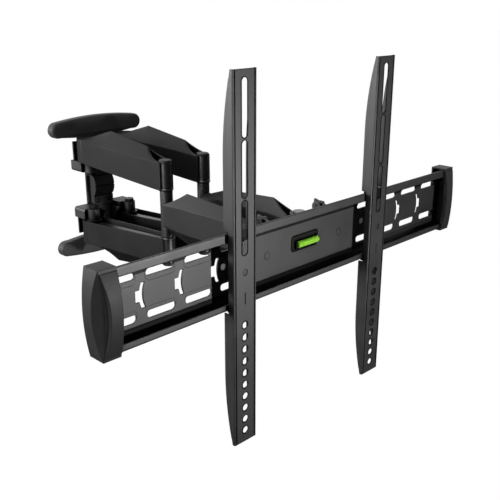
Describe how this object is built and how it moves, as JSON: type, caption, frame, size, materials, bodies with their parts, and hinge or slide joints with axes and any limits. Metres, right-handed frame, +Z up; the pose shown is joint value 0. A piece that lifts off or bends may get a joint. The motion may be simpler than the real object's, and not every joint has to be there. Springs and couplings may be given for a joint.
{
  "type": "full motion tv wall mount",
  "caption": "Full motion wall mount: wall plate with caps, paired folding arms with plastic covers, tilting slotted rail with end caps, and upright screen brackets.",
  "frame": {"origin": "on the wall, behind the centre of the wall plate", "axes": "+X to the right seen from the front, +Y into the wall, +Z up"},
  "size_m": [0.6338, 0.472, 0.43],
  "materials": {
    "powder_coated_steel": "fine satin powder coat",
    "arm_plastic": "fine grained matte",
    "cover_plastic": "satin",
    "pin_steel": "smooth black satin",
    "bolt_steel": "black oxide",
    "bush_plastic": "smooth",
    "vial_plastic": "clear tinted",
    "bubble": "clear"
  },
  "bodies": {
    "wall": {"wall_plate": "powder_coated_steel", "top_cover": "cover_plastic", "bottom_cover": "cover_plastic", "upper_pivot_bracket": "powder_coated_steel", "lower_pivot_bracket": "powder_coated_steel", "wall_pivot_bolts": "bolt_steel", "wall_pivot_washers": "bush_plastic", "column_cover": "cover_plastic", "column_cover_screws": "bolt_steel"},
    "rear_arm_left": {"upper_arm_bar_left": "powder_coated_steel", "lower_arm_bar_left": "powder_coated_steel", "upper_arm_cover_left": "arm_plastic", "lower_arm_cover_left": "arm_plastic", "elbow_pin_left": "pin_steel", "elbow_caps_left": "cover_plastic", "elbow_washers_left": "bush_plastic", "rear_arm_bushes_left": "bush_plastic"},
    "forearm_left": {"forearm_bar_left": "powder_coated_steel", "forearm_cover_left": "arm_plastic", "forearm_bushes_left": "bush_plastic"},
    "rear_arm_right": {"upper_arm_bar_right": "powder_coated_steel", "lower_arm_bar_right": "powder_coated_steel", "upper_arm_cover_right": "arm_plastic", "lower_arm_cover_right": "arm_plastic", "elbow_pin_right": "pin_steel", "elbow_caps_right": "cover_plastic", "elbow_washers_right": "bush_plastic", "rear_arm_bushes_right": "bush_plastic"},
    "forearm_right": {"forearm_bar_right": "powder_coated_steel", "forearm_cover_right": "arm_plastic", "forearm_bushes_right": "bush_plastic"},
    "head": {"head_yoke": "powder_coated_steel", "head_pivot_pins": "pin_steel", "tilt_pivot_bolts": "bolt_steel", "tilt_lock_bolts": "bolt_steel"},
    "screen_rail": {"tilt_plate": "powder_coated_steel", "rail": "powder_coated_steel", "rail_rivets": "bolt_steel", "end_cap_left": "cover_plastic", "end_cap_right": "cover_plastic", "level_holder": "cover_plastic", "level_vial": "vial_plastic", "level_bubble": "bubble"},
    "bracket_left": {"tv_bracket_left": "powder_coated_steel", "rail_hook_left": "powder_coated_steel", "lock_latch_left": "powder_coated_steel", "lock_screw_left": "bolt_steel"},
    "bracket_right": {"tv_bracket_right": "powder_coated_steel", "rail_hook_right": "powder_coated_steel", "lock_latch_right": "powder_coated_steel", "lock_screw_right": "bolt_steel"}
  },
  "joints": [
    {"name": "left_wall_pivot", "type": "hinge", "parent": "wall", "child": "rear_arm_left", "pos_m": [-0.0345, -0.036, 0], "axis": [0, 0, -1], "range_deg": [0, 76]},
    {"name": "left_elbow", "type": "hinge", "parent": "rear_arm_left", "child": "forearm_left", "pos_m": [-0.0345, -0.221, 0], "axis": [0, 0, -1], "range_deg": [-152, 0]},
    {"name": "head_pivot", "type": "hinge", "parent": "forearm_left", "child": "head", "pos_m": [-0.0345, -0.406, 0], "axis": [0, 0, -1], "range_deg": [0, 76]},
    {"name": "right_wall_pivot", "type": "hinge", "parent": "wall", "child": "rear_arm_right", "pos_m": [0.0345, -0.036, 0], "axis": [0, 0, -1], "range_deg": [-76, 0]},
    {"name": "right_elbow", "type": "hinge", "parent": "rear_arm_right", "child": "forearm_right", "pos_m": [0.0345, -0.221, 0], "axis": [0, 0, -1], "range_deg": [0, 152]},
    {"name": "tilt", "type": "hinge", "parent": "head", "child": "screen_rail", "pos_m": [0, -0.432, 0], "axis": [1, 0, 0], "range_deg": [-5, 15]},
    {"name": "left_bracket_slide", "type": "slide", "parent": "screen_rail", "child": "bracket_left", "axis": [1, 0, 0], "range_m": [-0.136, 0.079]},
    {"name": "right_bracket_slide", "type": "slide", "parent": "screen_rail", "child": "bracket_right", "axis": [1, 0, 0], "range_m": [-0.066, 0.149]}
  ],
  "couplings": [
    {"joint": "left_elbow", "follows": "left_wall_pivot", "ratio": -2},
    {"joint": "head_pivot", "follows": "left_wall_pivot", "ratio": 1},
    {"joint": "right_wall_pivot", "follows": "left_wall_pivot", "ratio": -1},
    {"joint": "right_elbow", "follows": "left_wall_pivot", "ratio": 2}
  ]
}
